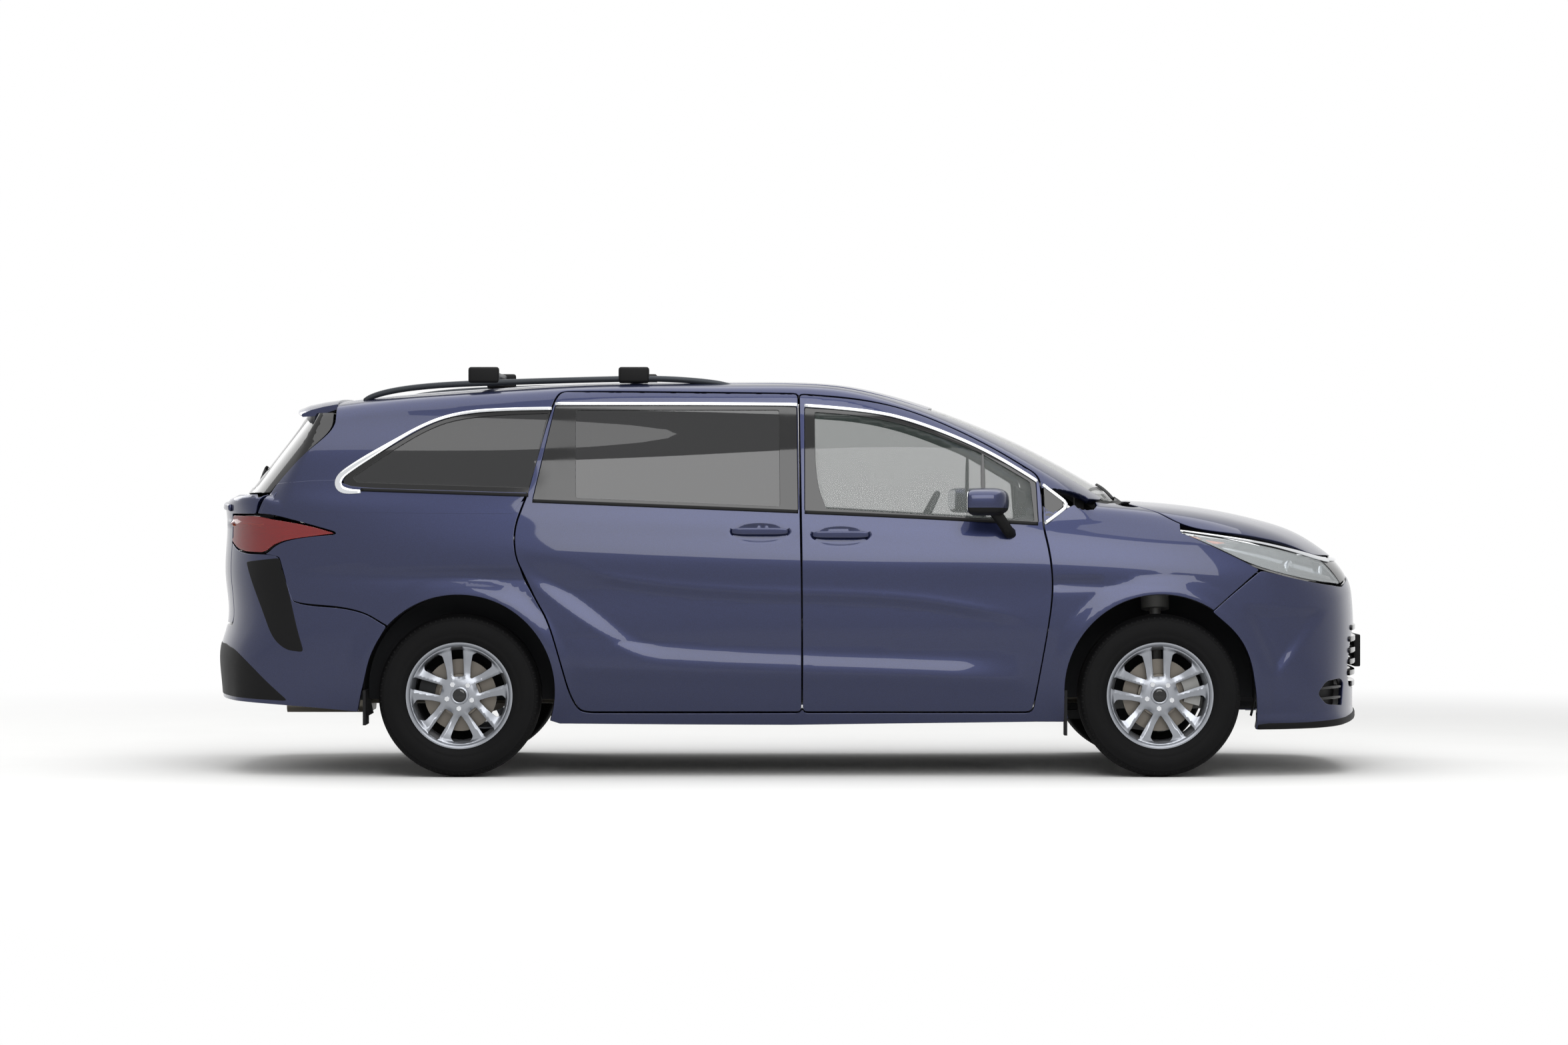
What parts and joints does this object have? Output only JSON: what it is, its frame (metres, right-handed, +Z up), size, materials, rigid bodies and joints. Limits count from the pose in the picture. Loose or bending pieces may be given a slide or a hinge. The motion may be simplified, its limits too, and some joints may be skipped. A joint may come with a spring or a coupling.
{
  "type": "minivan",
  "caption": "Family minivan with a hollow cabin, hinged front doors, hood and tailgate, sliding side doors, steered front wheels on struts and roof rails.",
  "frame": {"origin": "on the ground under the middle of the car's length and width", "axes": "+X to the front, +Y to the car's left side, +Z up"},
  "size_m": [5.174, 2.33, 1.801],
  "materials": {
    "body_paint": "dark blue metallic enamel under clear lacquer",
    "black_plastic": "grained black moulding",
    "gloss_black": "polished black moulding",
    "tinted_glass": "dark privacy glass",
    "clear_glass": "light green safety glass",
    "lamp_lens": "clear lamp lens over a chromed bowl",
    "tail_lens": "red lamp lens",
    "tyre": "black tyre rubber",
    "alloy": "silver lacquered cast alloy",
    "cast_metal": "bare cast metal",
    "steel": "black painted pressed steel",
    "exhaust_steel": "dull stainless steel",
    "seat_leather": "dark grained upholstery",
    "interior_plastic": "soft dark interior moulding",
    "bright_trim": "bright plated trim"
  },
  "bodies": {
    "body": {"body_sides": "body_paint", "roof": "body_paint", "floor": "steel", "cowl": "black_plastic", "front_bumper": "body_paint", "rear_bumper": "body_paint", "fenders": "body_paint", "headlamps": "lamp_lens", "tail_lamps": "tail_lens", "windshield": "clear_glass", "quarter_glass": "tinted_glass", "front_liners": "black_plastic", "roof_rails": "black_plastic", "slide_door_right": "body_paint", "slide_door_left": "body_paint", "slide_door_glass_right": "tinted_glass", "slide_door_glass_left": "tinted_glass", "rear_axle": "steel", "front_subframe": "steel", "engine": "cast_metal", "fuel_tank": "black_plastic", "exhaust": "exhaust_steel", "dashboard": "interior_plastic", "seats_front": "seat_leather", "seats_middle": "seat_leather", "seats_rear": "seat_leather", "mud_flaps": "black_plastic"},
    "hood": {"hood": "body_paint"},
    "tailgate": {"tailgate": "body_paint", "tailgate_glass": "tinted_glass"},
    "front_door_right": {"front_door_right": "body_paint", "front_door_glass_right": "clear_glass", "mirror_right": "body_paint"},
    "front_door_left": {"front_door_left": "body_paint", "front_door_glass_left": "clear_glass", "mirror_left": "body_paint"},
    "knuckle_right": {"knuckle_right": "cast_metal"},
    "knuckle_left": {"knuckle_left": "cast_metal"},
    "wheel_front_right": {"wheel_front_right": "alloy", "tyre_front_right": "tyre"},
    "wheel_front_left": {"wheel_front_left": "alloy", "tyre_front_left": "tyre"},
    "wheel_rear_right": {"wheel_rear_right": "alloy", "tyre_rear_right": "tyre"},
    "wheel_rear_left": {"wheel_rear_left": "alloy", "tyre_rear_left": "tyre"},
    "steering_wheel": {"steering_wheel": "interior_plastic"}
  },
  "joints": [
    {"name": "steer_right", "type": "hinge", "parent": "body", "child": "knuckle_right", "pos_m": [1.6125, -0.77, 0.205], "axis": [0, 0.1976, 0.9803], "range_deg": [-35, 35]},
    {"name": "roll_front_right", "type": "hinge", "parent": "knuckle_right", "child": "wheel_front_right", "pos_m": [1.6125, -0.85, 0.356], "axis": [0, 1, 0], "continuous": true},
    {"name": "roll_rear_right", "type": "hinge", "parent": "body", "child": "wheel_rear_right", "pos_m": [-1.4485, -0.85, 0.356], "axis": [0, 1, 0], "continuous": true},
    {"name": "door_right", "type": "hinge", "parent": "body", "child": "front_door_right", "pos_m": [1.095, -0.976, 0.7], "axis": [0, 0, 1], "range_deg": [0, 65]},
    {"name": "steer_left", "type": "hinge", "parent": "body", "child": "knuckle_left", "pos_m": [1.6125, 0.77, 0.205], "axis": [0, -0.1976, 0.9803], "range_deg": [-35, 35]},
    {"name": "roll_front_left", "type": "hinge", "parent": "knuckle_left", "child": "wheel_front_left", "pos_m": [1.6125, 0.85, 0.356], "axis": [0, 1, 0], "continuous": true},
    {"name": "roll_rear_left", "type": "hinge", "parent": "body", "child": "wheel_rear_left", "pos_m": [-1.4485, 0.85, 0.356], "axis": [0, 1, 0], "continuous": true},
    {"name": "door_left", "type": "hinge", "parent": "body", "child": "front_door_left", "pos_m": [1.095, 0.976, 0.7], "axis": [0, 0, -1], "range_deg": [0, 65]},
    {"name": "steering_column", "type": "hinge", "parent": "body", "child": "steering_wheel", "pos_m": [0.6, 0.37, 1.075], "axis": [-0.891, 0, 0.454], "range_deg": [-490, 490]},
    {"name": "hood_hinge", "type": "hinge", "parent": "body", "child": "hood", "pos_m": [1.478, 0, 1.165], "axis": [0, -1, 0], "range_deg": [0, 50]},
    {"name": "tailgate_hinge", "type": "hinge", "parent": "body", "child": "tailgate", "pos_m": [-1.975, 0, 1.638], "axis": [0, 1, 0], "range_deg": [0, 80]}
  ],
  "couplings": [
    {"joint": "steer_left", "follows": "steer_right", "ratio": 1},
    {"joint": "steering_column", "follows": "steer_right", "ratio": 14}
  ]
}
